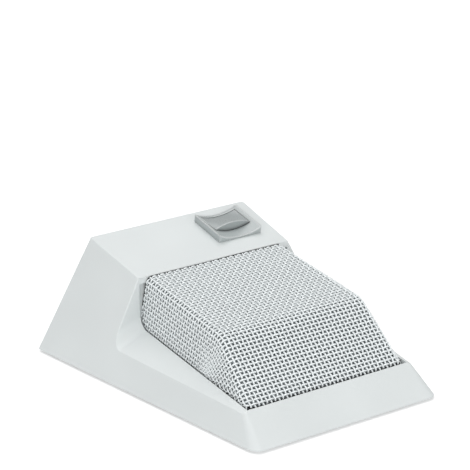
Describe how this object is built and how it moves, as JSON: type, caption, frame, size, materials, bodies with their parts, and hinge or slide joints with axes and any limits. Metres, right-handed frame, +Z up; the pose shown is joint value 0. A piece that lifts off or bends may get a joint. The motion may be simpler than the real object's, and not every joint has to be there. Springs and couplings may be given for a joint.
{
  "type": "desk microphone",
  "caption": "Wedge-shaped desk microphone with a bent wire-mesh grille in an open tray at the front and a sprung talk button on the sloping top behind it.",
  "frame": {"origin": "centre of the overall box in plan, on the plane the rubber feet rest on", "axes": "+Z up, the low front edge faces -Y, +X to the right as seen from the front"},
  "size_m": [0.1146, 0.1208, 0.0447],
  "materials": {
    "housing_plastic": "moulded ABS, light grey, fine satin",
    "bezel_plastic": "moulded ABS, mid grey",
    "button_plastic": "moulded ABS, darker grey",
    "grille_wire": "woven steel wire, off-white coat",
    "foam": "open-cell grey foam",
    "black_plastic": "moulded black plastic",
    "zinc_steel": "zinc-plated steel",
    "black_rubber": "moulded rubber",
    "ballast_iron": "plain iron",
    "aluminium": "drawn aluminium",
    "board": "glass-fibre board with green lacquer",
    "spring_steel": "drawn spring wire",
    "winding_tape": "taped copper winding",
    "lead_sheath": "soft vinyl sheath"
  },
  "bodies": {
    "base": {"housing": "housing_plastic", "grille": "grille_wire", "grille_foam": "foam", "grille_frame": "black_plastic", "grille_frame_screws": "zinc_steel", "base_plate": "zinc_steel", "base_screws": "zinc_steel", "foot_front_left": "black_rubber", "foot_front_right": "black_rubber", "foot_back_left": "black_rubber", "foot_back_right": "black_rubber", "ballast_weight": "ballast_iron", "ballast_screws": "zinc_steel", "capsule": "aluminium", "capsule_mount": "black_rubber", "capsule_stand": "black_plastic", "stand_screws": "zinc_steel", "capsule_lead": "lead_sheath", "capsule_terminal": "black_plastic", "main_board": "board", "board_spacers": "black_plastic", "board_screws": "zinc_steel", "transformer_core": "ballast_iron", "transformer_winding": "winding_tape", "capacitors": "aluminium", "chips": "black_plastic", "switch_header": "black_plastic", "switch_lead": "lead_sheath", "button_bezel": "bezel_plastic", "button_pin": "spring_steel", "return_spring": "spring_steel", "switch_body": "black_plastic", "switch_dome": "black_rubber", "switch_board": "board", "switch_board_screws": "zinc_steel", "cord_bush": "black_rubber"},
    "button": {"button_cap": "button_plastic"}
  },
  "joints": [
    {"name": "button_press", "type": "hinge", "parent": "base", "child": "button", "pos_m": [0.018, 0.04769, 0.04045], "axis": [1, 0, 0], "range_deg": [0, 5], "stiffness_Nm_per_rad": 0.12, "springref_deg": -3.44, "deforming": ["return_spring", "switch_dome"]}
  ]
}
